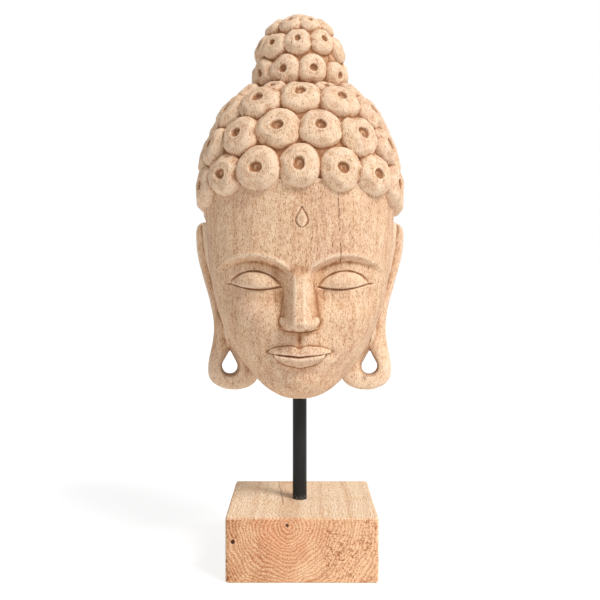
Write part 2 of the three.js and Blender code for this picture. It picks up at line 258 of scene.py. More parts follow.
# The face is relief on the front of the bare head, in units: s is the distance from the middle of the face
# and t the height above the chin. Each form gives how far it comes forward.
faceForms = {
    "browLevel": 7.05, "browArch": 1.2, "browEnds": (0.1, 5.3), "browEdge": 0.08,
    "eyeLevel": 6.5, "eyeEnds": (1.05, 3.95), "eyeSag": 0.2, "eyeLift": 0.16, "socketDepth": (0.62, 0.3),
    "lidHeight": 0.95, "lidRise": 0.4, "lowerLidRise": 0.13, "lidFold": 0.13, "lidSlit": 0.15,
    "noseTop": 7.85, "noseTip": 4.5, "noseBase": 4.02, "noseRise": 1.3,
    "wingAside": 0.62, "wingLevel": 4.45, "wingRise": 0.56, "nostrilDepth": 0.22,
    "mouthLevel": 2.66, "mouthHalf": 1.78, "mouthLift": 0.16, "mouthMound": 0.34, "mouthSlit": 0.16,
    "upperLip": 0.56, "lowerLip": 0.62, "lowerLipHalf": 1.45, "lipGroove": 0.12, "lipCorner": 0.14,
    "cheekRise": 0.2, "cheekMiddle": (2.7, 4.9), "cheekSize": (1.25, 1.3),
    "chinRise": 0.36, "chinMiddle": 0.95, "chinSize": (1.25, 0.8), "chinFold": 0.1,
    "dropLow": 9.78, "dropHigh": 10.95, "dropHalf": 0.33, "dropRise": 0.05, "dropCut": 0.1,
    "dropAside": 1.9,  # in millimetres
}


def browLine(s):
    return faceForms["browLevel"] + faceForms["browArch"] * arch(*faceForms["browEnds"], s) ** 0.8


def eyeLine(s):
    along = share(1.1, 3.9, s)
    return faceForms["eyeLevel"] - faceForms["eyeSag"] * np.sin(np.pi * along) + faceForms["eyeLift"] * along


def eyeOpening(s):
    return arch(*faceForms["eyeEnds"], s)


def lidCrease(s):
    return eyeLine(s) + faceForms["lidHeight"] * eyeOpening(s) ** 0.7


def mouthLine(s):
    lift = faceForms["mouthLift"] * share(0.2, 1.75, s) ** 2
    return faceForms["mouthLevel"] + lift - 0.05 * bell(s / 0.3)


def upperLipEdge(s):
    bow = 1 - 0.22 * bell(s / 0.2)
    return mouthLine(s) + faceForms["upperLip"] * oval(clamp(s / faceForms["mouthHalf"])) ** 1.1 * bow


def lowerLipEdge(s):
    return mouthLine(s) - faceForms["lowerLip"] * oval(clamp(s / faceForms["lowerLipHalf"])) ** 0.9


def nose(s, t):
    down = share(faceForms["noseTop"], faceForms["noseTip"], t)
    base = faceForms["noseBase"] + 0.16 * clamp(s / 1.1) ** 2
    under = oval(share(base + 0.62, base, t)) ** 0.9
    height = faceForms["noseRise"] * down**1.15 * ease(0, 0.28, down) * under
    side = 1 - share(mix(0.16, 0.22, down), mix(0.75, 1.16, down), s)
    ridge = height * mix(side, side * side * (3 - 2 * side), 0.9)
    outward = s - faceForms["wingAside"]
    upward = t - faceForms["wingLevel"] - 0.35 * outward
    dome = np.maximum(0, 1 - (outward / 0.5) ** 2 - (upward / 0.4) ** 2) ** 0.7
    wing = faceForms["wingRise"] * dome
    nostril = faceForms["nostrilDepth"] * bell((s - 0.36) / 0.15) * bell((t - 4.1) / 0.08)
    return (ridge**4 + wing**4) ** 0.25 - nostril


def socket(s, t):
    brow = browLine(s)
    below = ease(brow + 0.02, brow - 0.42, t) * ease(4.6, 6.2, t)
    across = ease(0.2, 1.5, s) * (1 - ease(3.9, 5.3, s))
    return -mix(*faceForms["socketDepth"], share(1, 4.4, s)) * below * across


def eyelid(s, t):
    line, crease = eyeLine(s), lidCrease(s)
    middle, half = (line + crease) / 2, (crease - line) / 2 + 1e-6
    dome = np.maximum(0, 1 - ((t - middle + 0.12) / (half * 1.3)) ** 2) ** 0.6
    between = ease(line - 0.05, line + 0.02, t) * (1 - ease(crease - 0.02, crease + 0.06, t))
    under = ease(line + 0.02, line - 0.05, t) * (1 - ease(line - 0.28, line - 0.75, t))
    upper = faceForms["lidRise"] * eyeOpening(s) ** 0.8 * dome * between
    return upper + faceForms["lowerLidRise"] * eyeOpening(s) ** 1.2 * under


def lips(s, t):
    line, upperEdge, lowerEdge = mouthLine(s), upperLipEdge(s), lowerLipEdge(s)
    v = clamp((upperEdge - t) / (upperEdge - line + 1e-6))
    upper = (t <= upperEdge) * (t > line) * (0.07 + 0.27 * v**0.8) * clamp((upperEdge - line) / 0.12)
    w = clamp((line - t) / (line - lowerEdge + 1e-6))
    rounded = 0.34 * np.sin(np.pi * (0.1 + 0.86 * w**0.75)) + 0.03
    lower = (t <= line) * (t > lowerEdge) * rounded * clamp((line - lowerEdge) / 0.12)
    mound = faceForms["mouthMound"] * bell(s / 1.7) * bell((t - 2.8) / 1.25)
    fold = faceForms["chinFold"] * bell((t - 1.72) / 0.28) * bell(s / 0.9)
    groove = faceForms["lipGroove"] * bell(s / 0.17) * arch(upperEdge, 4.1, t)
    corner = faceForms["lipCorner"] * bell((s - 1.8) / 0.22) * bell((t - line) / 0.25)
    slit = faceForms["mouthSlit"] * bell((t - line) / 0.045) * oval(clamp(s / faceForms["mouthHalf"]))
    return mound + np.maximum(upper, lower) - fold - groove - corner - slit


def cheek(s, t):
    (aside, level), (wide, tall) = faceForms["cheekMiddle"], faceForms["cheekSize"]
    return faceForms["cheekRise"] * bell((s - aside) / wide) * bell((t - level) / tall)


def chin(s, t):
    wide, tall = faceForms["chinSize"]
    return faceForms["chinRise"] * bell(np.hypot(s / wide, (t - faceForms["chinMiddle"]) / tall))


# Cut lines: the fold over the lid, the slit between the lids and the crisp edge of the brow
def cutLines(s, t):
    fold = faceForms["lidFold"] * bell((t - lidCrease(s) - 0.04) / 0.05) * eyeOpening(s) ** 0.5
    ends = ease(0.92, 1.15, s) * (1 - ease(3.95, 4.3, s))
    slit = faceForms["lidSlit"] * bell((t - eyeLine(s) + 0.02) / 0.05) * ends
    browEnds = ease(0.4, 1, s) * (1 - ease(4, 4.9, s))
    return faceForms["browEdge"] * bell((t - browLine(s) - 0.06) / 0.14) * browEnds - fold - slit


# The drop in the middle of the forehead: an engraved outline round a slightly raised field
def foreheadDrop(s, t):
    along = share(faceForms["dropLow"], faceForms["dropHigh"], t)
    half = faceForms["dropHalf"] * np.sin(np.pi * (1 - along) ** 1.6) ** 0.8
    drop = faceForms["dropRise"] * (s < half) - faceForms["dropCut"] * bell((s - half) / 0.05)
    return (along > 0) * (along < 1) * drop


def faceRelief(x, h):
    s, t = np.abs(x) / unit, h / unit
    forms = sum(form(s, t) for form in (nose, socket, eyelid, lips, cheek, chin, cutLines))
    return unit * (forms + foreheadDrop(np.abs(x - faceForms["dropAside"]) / unit, t))


# A fine drying crack runs down the right side of the forehead, with a gap at the brow
crack = {
    "low": 112, "high": 180, "fade": 8,
    "aside": 33.4, "asideLevel": 144, "slant": 0.045, "drift": 0.6,
    "halfWidth": 0.32, "depth": 0.7,
    "gapLevel": 140, "gap": 3,
}


def dryingCrack(x, h):
    low, high, fade = crack["low"], crack["high"], crack["fade"]
    drift = 0.5 * np.sin(h * 0.21) + 0.25 * np.sin(h * 0.83)
    middle = crack["aside"] + crack["slant"] * (crack["asideLevel"] - h) + drift * crack["drift"]
    ends = ease(low, low + fade, h) * (1 - ease(high - fade, high, h))
    return bell((x - middle) / crack["halfWidth"]) * ends * (1 - bell((h - crack["gapLevel"]) / crack["gap"]))


# Rows of the face's grid bend along the lips, lids and brows, so that their edges stay crisp
def bentRow(t, s):
    mouthAway, eyeAway = ease(1.2, 2.6, s), ease(4.2, 5.4, s)
    guides = [(0, 0), (1.35, 1.35)]
    guides += [(level, mix(line(s), level, mouthAway))
               for level, line in ((2.04, lowerLipEdge), (2.66, mouthLine), (3.22, upperLipEdge))]
    guides += [(3.96, 3.96), (5.25, 5.25)]
    lidMiddle = mix(eyeLine(s), browLine(s), 0.5)
    guides += [(level, mix(line, level, eyeAway))
               for level, line in ((6.4, eyeLine(s)), (7.3, lidMiddle), (8.25, browLine(s)))]
    guides += [(9.6, 9.6), (13, 13)]
    bent = np.zeros(np.broadcast(t, s).shape)
    for (low, lowBent), (high, highBent) in zip(guides, guides[1:]):
        between = (t >= low) & (t <= high)
        bent = np.where(between, mix(lowBent, highBent, share(low, high, t)), bent)
    return bent


# The face is a mask with a close grid, closed behind inside the skull
mask = {
    "bottom": 0.02, "top": 12.5,  # in units
    "halfAngle": 1.62,  # how far round it reaches to each side
    "reliefFade": (1.45, 1),  # the relief dies out between these angles
    "rows": 330, "columns": 286, "crowding": 1.15,  # above 1, columns crowd to the middle
    "marks": {"crease": (4, 0.22), "hollow": (50, 0.9)},
}


def faceMask():
    t = np.linspace(mask["bottom"], mask["top"], mask["rows"])[:, None]
    column = np.linspace(-1, 1, mask["columns"])[None, :]
    angle = mask["halfAngle"] * signedPower(column, mask["crowding"])
    s = np.abs(headPoint(angle, t * unit)[..., 0]) / unit
    h = unit * bentRow(t, s)
    points = headPoint(angle, h)
    facing = ease(*mask["reliefFade"], np.abs(angle)) * ease(0, 0.4 * unit, h)
    x = points[..., 0]
    points[..., 1] -= facing * (faceRelief(x, h) - crack["depth"] * dryingCrack(x, h))
    middle = mix(frontOf(t * unit), backOf(t * unit), head["core"])[..., None]
    inner = np.concatenate([middle * 0, middle, t[..., None] * unit], -1)
    return np.concatenate([points, inner], 1)


face = meshObject("carved_face", *closedGrid(toWorld(faceMask())))
carve(face)
markHollows(face, mask["marks"])
faceX, faceY, faceLevel = (meshVectors(face.data) / mm - np.array([rodMiddle, 0, chinLevel])).T
keepValues(face, "mark", dryingCrack(faceX, faceLevel) * (faceY < 0))
print("face done", len(face.data.polygons))


# The skull under the hair, set back a little where the face covers it
cap = {"faceRows": 90, "crownRows": 40, "columns": 180, "setBack": (0.16, 0.04), "setBackEnds": (1.7, 1.3)}


def skull():
    crown = faceHeight + capHeight * np.sin(np.linspace(0.02, 1.55, cap["crownRows"]))
    h = np.concatenate([np.linspace(0.3, faceHeight, cap["faceRows"]), crown])
    level = h[:, None]
    angle = np.linspace(0, turn, cap["columns"], endpoint=False)[None, :]
    behindFace = ease(*cap["setBackEnds"], np.minimum(angle, turn - angle))
    behindFace = behindFace * (1 - ease(0, unit, level - faceHeight))
    setBack = mix(*cap["setBack"], ease(8 * unit, 12 * unit, level)) * behindFace
    middle = np.stack([h * 0, mix(frontOf(h), backOf(h), head["core"]), h], -1)[:, None, :]
    return closedGrid(mix(headPoint(angle, level), middle, setBack[..., None]))


# The topknot is an egg with full shoulders that sits in the top of the skull
topknot = {
    "width": 74, "height": 52, "back": 2,
    "curlPitch": 25, "curlHeight": 7, "curlRadius": 0.54, "curlRows": 4, "rowRise": 0.5,
    "rowShrink": 0.055, "lastCurl": 0.8, "turnShift": 0.06, "riseShift": 0.04, "sizes": (0.94, 1.05),
}


def topknotPoint(angle, rise):
    radius = topknot["width"] / 2 * np.abs(np.cos(rise)) ** 0.75
    level = faceHeight + capHeight + topknot["height"] * np.sin(rise)
    return np.stack([radius * np.sin(angle), topknot["back"] - radius * np.cos(angle), level + 0 * angle], -1)


def topknotEgg():
    rise = np.linspace(-1.5, 1.5, 50)[:, None]
    angle = np.linspace(0, turn, 90, endpoint=False)[None, :]
    return closedGrid(topknotPoint(angle, rise))


# A curl is a low button with a drilled dimple. Its rim is cut in flat facets by hand: no two are alike.
curls = {
    "pitch": 35.5, "rowPitch": 33, "height": 8.5,
    "radius": 0.53,  # as a share of the pitch
    "rows": range(-4, 5),  # from the hairline, and negative rows run round the nape
    "frontStart": 0.56, "backStart": 0.84,  # of a row over the hairline, and of the face's height behind
    "sides": 56, "rings": 34,
    "dome": 0.14, "wave": 0.03, "skirt": 1.2,
    "rimCuts": 8, "cutAim": 0.32, "cutDepth": (0.56, 0.74), "cutSlope": (1.5, 2.3),
    "dimple": 0.27, "dimpleSpread": (0.92, 1.1), "dimpleDepth": 0.42, "dimpleLip": 0.04,
    "lean": 0.07, "shift": 0.8, "sizes": (0.96, 1.03),  # chance leanings, shifts in mm, and sizes
    "earAngle": 1.8, "earLowAngle": 2.0, "earLowLevel": 6.6,  # the ears keep the nape's curls away
    "napeEdge": (4.2, 2.4),  # in units, beside the ears and behind
    "crownRow": 3, "crownSize": 0.6, "besideEarSize": 0.8,
}


def curl(point, normal, radius, height):
    lean = np.array([chance.uniform(-curls["lean"], curls["lean"]) for _ in range(3)])
    normal = unitVectors(normal + lean)
    side = unitVectors(np.cross([0, 0, 1.0], normal)) if abs(normal[2]) < 0.999 else np.array([1.0, 0, 0])
    up = np.cross(normal, side)
    angle = np.linspace(0, turn, curls["sides"], endpoint=False)[None, :]
    out = np.concatenate([np.linspace(0.03, 1, curls["rings"]), [1.0, 0.98]])[:, None]
    phases = [chance.uniform(0, turn) for _ in range(4)]
    outline = 1 + curls["wave"] * np.sin(2 * angle + phases[0]) + curls["wave"] * np.sin(3 * angle + phases[1])
    rise = 1 - curls["dome"] * out**2 + 0 * angle
    for cut in range(curls["rimCuts"]):
        aim = (cut + chance.uniform(-curls["cutAim"], curls["cutAim"])) / curls["rimCuts"] * turn
        edge, fall = chance.uniform(*curls["cutDepth"]), chance.uniform(*curls["cutSlope"])
        rise = np.minimum(rise, 0.95 + fall * (edge - out * np.cos(angle - aim)))
    rise = np.minimum(rise, 1.02 * (1 - np.minimum(out, 1) ** 4) ** 0.5)
    dimple = curls["dimple"] * chance.uniform(*curls["dimpleSpread"])
    scoop = out / (dimple * (1 + 0.07 * np.sin(2 * angle + phases[2])))
    bowl = np.maximum(0, 1 - scoop**2) ** 0.55 * (curls["dimpleDepth"] - 0.05 * np.cos(scoop * 9 + angle))
    rise = height * (rise - bowl + curls["dimpleLip"] * bell((scoop - 1.2) / 0.2))
    rise = rise + height * curls["wave"] * np.sin(5 * angle + phases[3] + 3 * out) * ease(0.35, 0.6, out)
    rise[-1] = -height * curls["skirt"]
    spread = radius * out * outline
    rings = point + side * (spread * np.sin(angle))[..., None] - up * (spread * np.cos(angle))[..., None]
    return closedGrid((rings + normal * rise[..., None])[::-1])


# How high a row lies, climbing the midline from a start at the front or the back of the head
def climb(start, distance, angle):
    h = start
    for _ in range(int(abs(distance))):
        step = np.linalg.norm(headPoint(angle, h + 1) - headPoint(angle, h))
        h += math.copysign(1, distance) / step
    return h


# A row's curls stand evenly along it, and every other row is shifted by half a curl
def curlRow(row):
    front = climb(faceHeight + curls["frontStart"] * curls["rowPitch"], row * curls["rowPitch"], 0)
    back = climb(curls["backStart"] * faceHeight, row * curls["rowPitch"], math.pi)
    angle = np.linspace(-math.pi, math.pi, 1201)
    level = mix(front, back, (np.abs(angle) / math.pi) ** 1.4)
    walk = headPoint(angle, level) + headNormal(angle, level) * curls["height"] / 2
    length = np.concatenate([[0], np.cumsum(np.linalg.norm(np.diff(walk, axis=0), axis=1))])
    count = round(length[-1] / curls["pitch"])
    start = length[-1] / 2 + math.fmod(row, 2) * length[-1] / count / 2
    reach = (start + np.arange(count) * length[-1] / count) % length[-1]
    return [(float(np.interp(r, length, angle)), float(np.interp(r, length, level))) for r in reach]


def hairCurls():
    shells = []
    for row in curls["rows"]:
        for angle, level in curlRow(row):
            away = abs(angle)
            earReach = curls["earAngle"] if level > curls["earLowLevel"] * unit else curls["earLowAngle"]
            besideEar = row < 0 and away <= earReach
            underTopknot = row > curls["crownRow"] and away <= 2
            if besideEar or underTopknot or level < mix(*curls["napeEdge"], ease(1.9, 2.8, away)) * unit:
                continue
            size = 1
            if row == curls["crownRow"]:  # smaller in front of the topknot
                size = mix(curls["crownSize"], 1, ease(0.8, 1.6, away))
            h = level - 0.7 * curls["pitch"] * (1 - size) + chance.uniform(-curls["shift"], curls["shift"])
            angle += chance.uniform(-curls["shift"], curls["shift"]) / head["skullDepth"]
            if row < 0:
                size *= mix(curls["besideEarSize"], 1, ease(1.85, 2.1, away))
            radius = size * curls["pitch"] * curls["radius"] * chance.uniform(*curls["sizes"])
            shells.append(curl(headPoint(angle, h), headNormal(angle, h), radius, size * curls["height"]))
    return shells


def topknotCurls():
    shells = []
    for row in range(topknot["curlRows"]):
        last = row == topknot["curlRows"] - 1
        size = topknot["lastCurl"] if last else 1 - topknot["rowShrink"] * row**2
        rowRise = math.pi / 2 if last else row * topknot["rowRise"]
        pitch = topknot["curlPitch"] * size
        around = math.pi * (topknot["width"] * math.cos(rowRise) + topknot["curlHeight"])
        count = 1 if last else round(around / pitch)
        for i in range(count):
            shift = chance.uniform(-topknot["turnShift"], topknot["turnShift"])
            angle = (i + 0.5 * (row + 1)) / count * turn + shift
            rise = min(math.pi / 2, rowRise + chance.uniform(-topknot["riseShift"], topknot["riseShift"]))
            outward = topknot["height"] * math.cos(rise)
            upward = topknot["width"] / 2 * math.sin(rise)
            normal = unitVectors(np.array([math.sin(angle) * outward, -math.cos(angle) * outward, upward]))
            radius = pitch * topknot["curlRadius"] * chance.uniform(*topknot["sizes"])
            point = topknotPoint(np.array(angle), rise)
            shells.append(curl(point, normal, radius, topknot["curlHeight"] * size))
    return shells


# An ear is a long plate that faces sideways at its top and turns to the front at its lobe. Threes of sizes
# are at the top, the waist and the lobe.
ears = {
    "spread": (192, 157, 171),  # over both ears
    "thickness": (12, 12, 15),
    "rootInset": (10, 5, 5),
    "edgeBack": (26, 20, 14),
    "length": (34, 25, 10),  # from root to edge
    "top": 10.4 * unit, "shoulder": 9.5 * unit, "waist": 3.8 * unit,
    "lobeMiddle": 1.35 * unit, "lobeBottom": 0.05 * unit,
    "squareness": 0.75,  # of the plate's rim, 1 being an ellipse
    "grooveAside": (-0.15, 0.28), "grooveHalf": 0.34, "grooveDepth": (0.34, 0.6),  # low and high
    "holeWidth": 14.6, "holeHeight": 22, "holeRise": 2.5, "holeInset": 20.5,
    # How wide the knife opens the lobe's hole, at each depth from front to back
    "holeSlant": ((-30, 4.6), (-4, 1.95), (5, 1.05), (12, 1.0), (22, 1.5), (50, 3.3)),
    # Knots and chips: where each is across and up, and its radius
    "knots": ((-77, 224, 2.0), (-75.5, 228, 1.2), (75, 234, 1.0), (58, 166, 1.6), (60.5, 170, 1.1),
              (-80, 203, 1.1)),
}
holeAside = ears["spread"][2] / 2 - ears["holeInset"]
holeLevel = ears["lobeMiddle"] + ears["holeRise"]


def earPlate(side):
    top, shoulder, waist, lobe, bottom = (
        ears[key] for key in ("top", "shoulder", "waist", "lobeMiddle", "lobeBottom"))
    h = mix(bottom, top, 0.5 - 0.5 * np.cos(np.linspace(0.02, math.pi - 0.02, 170)))[:, None]
    low, high = ease(waist, lobe, h), ease(waist, shoulder, h)
    headSides = head["width"] / 2, float(halfWidth(waist)), float(halfWidth(lobe))
    threes = [headSides] + [ears[key] for key in ("rootInset", "edgeBack", "length", "spread", "thickness")]
    sideX, rootInset, edgeY, length, spread, thickness = (
        mix(mix(atWaist, atTop, high), atLobe, low) for atTop, atWaist, atLobe in threes)
    root = np.stack([sideX - rootInset, edgeY - length], -1)
    edge = np.stack([spread / 2, edgeY], -1)
    upper = oval(clamp((h - shoulder) / (top - shoulder)) ** 1.8)
    narrowing = upper * oval(clamp((lobe - h) / (lobe - bottom)) ** 1.35)
    angle = side * np.linspace(0, turn, 90, endpoint=False)[None, :]
    across = signedPower(np.cos(angle), ears["squareness"])
    out = signedPower(np.sin(angle), ears["squareness"])
    # The groove down the outer face follows the ear's middle and is shallower at the waist
    groove = mix(*ears["grooveAside"], ease(3 * unit, 7 * unit, h))
    hollow = clamp(-out * 2) * bell((across - groove) / ears["grooveHalf"]) ** 1.3
    hollow = hollow * arch(1.7 * unit, 10.3 * unit, h) ** 0.4
    hollow = ears["thickness"][0] * mix(*ears["grooveDepth"], ease(4.5 * unit, 7 * unit, h)) * hollow
    along = unitVectors(edge - root)
    middle = (root + edge) / 2
    reach = np.linalg.norm(edge - root, axis=-1) / 2 * narrowing
    outward = thickness / 2 * np.sqrt(narrowing) * out + hollow
    x = middle[..., 0] + along[..., 0] * reach * across - along[..., 1] * outward
    y = middle[..., 1] + along[..., 1] * reach * across + along[..., 0] * outward
    return closedGrid(np.stack([side * x, y, h + 0 * x], -1))


# The hole in a lobe is a drop with its point up, cut with a slanting knife from both faces
def lobeDrop():
    radius = ears["holeWidth"] / 2
    point = ears["holeHeight"] - radius
    touch = math.asin(radius / point)
    bend = np.linspace(math.pi - touch, turn + touch, 40)
    drop = np.stack([radius * np.cos(bend), radius * np.sin(bend)], -1)
    return np.concatenate([[[0, point]], drop])


def lobeCutter(side):
    rings = []
    for y, widen in ears["holeSlant"]:
        ring = np.array([side * holeAside, holeLevel]) + lobeDrop() * widen
        rings.append(np.stack([ring[:, 0], np.full(len(ring), float(y)), ring[:, 1]], -1))
    return closedGrid(np.stack(rings))


def piercedEar(side):
    plate = meshObject("ear_shape", *earPlate(side))
    cutter = meshObject("ear_cutter", *lobeCutter(side))
    for each in (plate, cutter):
        bpy.context.view_layer.objects.active = each
        bpy.ops.object.select_all(action="DESELECT")
        each.select_set(True)
        bpy.ops.object.mode_set(mode="EDIT")
        bpy.ops.mesh.select_all(action="SELECT")
        bpy.ops.mesh.normals_make_consistent(inside=False)
        bpy.ops.object.mode_set(mode="OBJECT")
    cut = plate.modifiers.new("hole", "BOOLEAN")
    cut.operation, cut.object, cut.solver = "DIFFERENCE", cutter, "EXACT"
    applyModifiers(plate)
    shell = meshVectors(plate.data), [tuple(polygon.vertices) for polygon in plate.data.polygons]
    for each in (plate, cutter):
        bpy.data.objects.remove(each)
    return shell


def earKnots(points):
    shade = np.zeros(len(points))
    for x, z, radius in ears["knots"]:
        ripple = 1 + 0.3 * np.sin(3 * np.arctan2(points[:, 2] - z, points[:, 0] - x))
        shade += bell(np.hypot(points[:, 0] - x, points[:, 2] - z) / radius / ripple)
    return np.minimum(1, shade)


# The walls of the lobe holes get painted shade, darker than the rest
def paintedLobeWallShade(points):
    outline = lobeDrop()
    bearing = np.arctan2(outline[:, 0], outline[:, 1])
    order = np.argsort(bearing)
    shade = np.zeros(len(points))
    for side in (1, -1):
        x = points[:, 0] - rodMiddle - side * holeAside
        z = points[:, 2] - chinLevel - holeLevel
        wall = np.interp(np.arctan2(x, z), bearing[order], np.hypot(*outline[order].T), period=turn)
        shade += ease(1.5, 1.15, np.hypot(x, z) / wall)
    return shade


# Skull, topknot, ears and curls are fused into one skin, as they are cut from one log
hairSkin = {"voxel": 0.8, "triangles": 190000, "marks": {"crease": (3, 0.28), "hollow": (40, 1.8)}}


def hairAndEars():
    plates = [piercedEar(side) for side in (1, -1)]
    vertices, faces = joinedShells([skull(), topknotEgg(), *plates, *hairCurls(), *topknotCurls()])
    piece = meshObject("carved_hair", toWorld(vertices), faces)
    remesh = piece.modifiers.new("remesh", "REMESH")
    remesh.mode, remesh.voxel_size = "VOXEL", hairSkin["voxel"] * mm
    applyModifiers(piece)
    carve(piece)
    piece.data.calc_loop_triangles()
    thin = piece.modifiers.new("thin", "DECIMATE")
    thin.ratio = hairSkin["triangles"] / len(piece.data.loop_triangles)
    applyModifiers(piece)
    piece.data.shade_smooth()
    return piece


hair = hairAndEars()
markHollows(hair, hairSkin["marks"])
hairPoints = meshVectors(hair.data) / mm
keepValues(hair, "mark", earKnots(hairPoints))
keepValues(hair, "lobe_wall_shade", paintedLobeWallShade(hairPoints))
print("hair and ears done", len(hair.data.polygons))


# Colours are given as sRGB hex and turned to linear
def linear(code):
    channels = [int(code[i:i + 2], 16) / 255 for i in (1, 3, 5)]
    return [c / 12.92 if c <= 0.04045 else ((c + 0.055) / 1.055) ** 2.4 for c in channels] + [1.0]


# Adds a node: values or links for its inputs in order or by name, and its settings. It gives back one
# output, or all of them where out is None.
def addNode(tree, kind, *values, named=None, out=0, **settings):
    node = tree.nodes.new("ShaderNode" + kind)
    for key, value in settings.items():
        setattr(node, key, value)
    for key, value in [*enumerate(values), *(named or {}).items()]:
        if isinstance(value, bpy.types.NodeSocket):
            tree.links.new(value, node.inputs[key])
        else:
            node.inputs[key].default_value = value
    return node.outputs if out is None else node.outputs[out]


def emptyMaterial(name):
    material = bpy.data.materials.new(name)
    material.use_nodes = True
    material.node_tree.nodes.clear()
    return material, material.node_tree


# Noise for each grain in a table, drawn out along one axis. A grain has its size across and along in
# millimetres, its detail and its twist.
def drawnGrains(tree, place, grains, axis=2):
    patterns = {}
    for name, (across, along, detail, twist) in grains.items():
        scale = [1 / (across * mm)] * 3
        scale[axis] = 1 / (along * mm)
        stretched = addNode(tree, "Mapping", place, named={"Scale": scale})
        patterns[name] = addNode(tree, "TexNoise", stretched,
                                 named={"Scale": 1.0, "Detail": detail, "Distortion": twist})
    return patterns


# Multiplies shares. Each is a pattern, or a pattern with the two values between which it goes from the
# least share to the most.
def product(tree, shares):
    amount = None
    for each in shares:
        if isinstance(each, tuple):
            each = addNode(tree, "MapRange", *each)
        amount = each if amount is None else addNode(tree, "Math", amount, each, operation="MULTIPLY")
    return amount


# Lays tints over a colour, each mixed or multiplied in by its shares
def tinted(tree, colour, layers):
    for blend, tint, *shares in layers:
        tint = linear(tint) if isinstance(tint, str) else tint
        colour = addNode(tree, "Mix", product(tree, shares), named={6: colour, 7: tint}, out=2,
                         data_type="RGBA", blend_type=blend)
    return colour


# Albesia, a pale light hardwood, carved with gouges and left dry and limed: fuzzy short fibres, broad soft
# bands and dark pores, with brown painted shade in its hollows and creases and painted highlights on its
# ridges and edges. Its fibres and pores are really about 0.2 mm wide and are drawn at 1 mm, as coarse as they
# need to show.
headWood = {
    "grains": {
        "fibre": (1.0, 3.4, 4.0, 0.6),
        "fuzz": (0.9, 1.2, 2.0, 0.0),
        "band": (16, 110, 3.0, 0.7),
        "cloud": (30, 45, 2.0, 0.0),
        "blot": (7, 11, 3.0, 0.0),
        "stripe": (4, 50, 2.0, 0.3),
        "pore": (1.1, 2.6, 1.0, 0.0),
    },
    "colour": "#d1a886",
    "roughness": (0.85, 0.66),  # between the fibres and on them
    "ior": 1.5,
    "specular": 0.25,  # half the usual, because dry wood hardly shines
    "relief": 0.7, "reliefStrength": 0.6,
}


def carvedAlbesia():
    material, tree = emptyMaterial("hand_carved_albesia")
    place = addNode(tree, "TexCoord", out="Object")
    grain = drawnGrains(tree, place, headWood["grains"])
    kept = ("hollow", "crease", "mark", "lobe_wall_shade")
    hollow, crease, mark, lobe_wall_shade = (addNode(tree, "Attribute", out="Fac", attribute_name=name) for name in kept)
    colour = tinted(tree, linear(headWood["colour"]), [
        ("MIX", "#ddbb99", (grain["band"], 0.4, 0.6, 0, 1)),
        ("MIX", "#cba48c", (grain["cloud"], 0.45, 0.65, 0, 0.6)),
        ("MIX", "#e6c8a9", (grain["blot"], 0.48, 0.64, 0, 0.5)),
        # painted shade in the hollows, brown
        ("MIX", "#bb8557", (hollow, 0.1, 0.9, 0, 0.55)),
        ("MIX", "#e8cdb0", (hollow, -0.1, -0.8, 0, 0.28)),  # painted highlight on broad ridges
        ("MULTIPLY", "#dcc3a8", (grain["stripe"], 0.52, 0.66, 0, 0.38)),
        ("MULTIPLY", "#cdae90", (grain["fibre"], 0.48, 0.34, 0, 0.75)),
        ("MULTIPLY", "#cbb096", (grain["fuzz"], 0.46, 0.34, 0, 0.65)),
        ("MIX", "#f0dabf", (grain["fuzz"], 0.54, 0.68, 0, 0.35)),
        ("MIX", "#eed5b6", (grain["fibre"], 0.54, 0.7, 0, 0.3)),
        # painted shade along the creases, dark brown
        ("MIX", "#8c5832", (crease, 0.25, 0.85, 0, 0.75)),
        ("MIX", "#efd8bd", (crease, -0.3, -0.9, 0, 0.35)),  # painted highlight on sharp edges
        ("MIX", "#6d4528", (grain["pore"], 0.65, 0.7, 0, 0.75), (grain["stripe"], 0.4, 0.6, 0.25, 1)),
        # painted shade on the walls of the lobe holes
        ("MIX", "#8a6347", (lobe_wall_shade, 0, 1, 0, 0.5)),
        ("MIX", "#54331d", (mark, 0, 1, 0, 0.8)),
    ])
    height = addNode(tree, "Math", grain["fuzz"], 0.6, grain["fibre"], operation="MULTIPLY_ADD")
    bump = addNode(tree, "Bump", named={
        "Height": height, "Strength": headWood["reliefStrength"], "Distance": headWood["relief"] * mm})
    surface = addNode(tree, "BsdfPrincipled", named={
        "Base Color": colour, "Normal": bump,
        "IOR": headWood["ior"], "Specular IOR Level": headWood["specular"],
        "Roughness": addNode(tree, "MapRange", grain["fibre"], 0.3, 0.7, *headWood["roughness"])})
    addNode(tree, "OutputMaterial", surface, out=None)
    return material


# Pine, sawn square across its log and lightly sanded: growth rings in front, with the log's middle near the
# top, a rosy heart, rays that the saw has torn, and pores. The top shows the rings' long edges, swirling
# round the rod. Places and sizes are in millimetres.
blockWood = {
    "grains": {
        "wander": (34, 70, 2.0, 0.0),
        "sway": (8, 22, 2.0, 0.0),
        "fibre": (0.9, 6, 4.0, 0.5),
        "dust": (1.0, 1.0, 2.0, 0.0),
        "patch": (20, 20, 3.0, 0.0),
    },
    "logMiddle": (-12.5, 49), "ringPitch": 3.1, "ringWander": (18, 3),
    "swirlMiddle": (-6, -36), "swirlPitch": 2.6, "swirlWander": (30, 6), "swirlSquash": 0.45,
    "rays": (26.0, 260.0),  # spokes for each radian round the log, and breaks for each metre along them
    "bandsPerMetre": 90.0,
    "topCrack": (15.9, 0.084), "topCrackWander": 4,
    "spots": (("#40200f", (-58.4, -65, 35.2), 2.1), ("#6b4030", (-64.5, -65, 18.3), 1.4)),
    "colour": "#f4dec2", "front": ("#c2875c", "#ebbb93"),  # the front is darker to the left
    "roughness": 0.75,
    "ior": 1.5,
    "specular": 0.25,
    "relief": 0.5, "reliefStrength": 0.5,
}


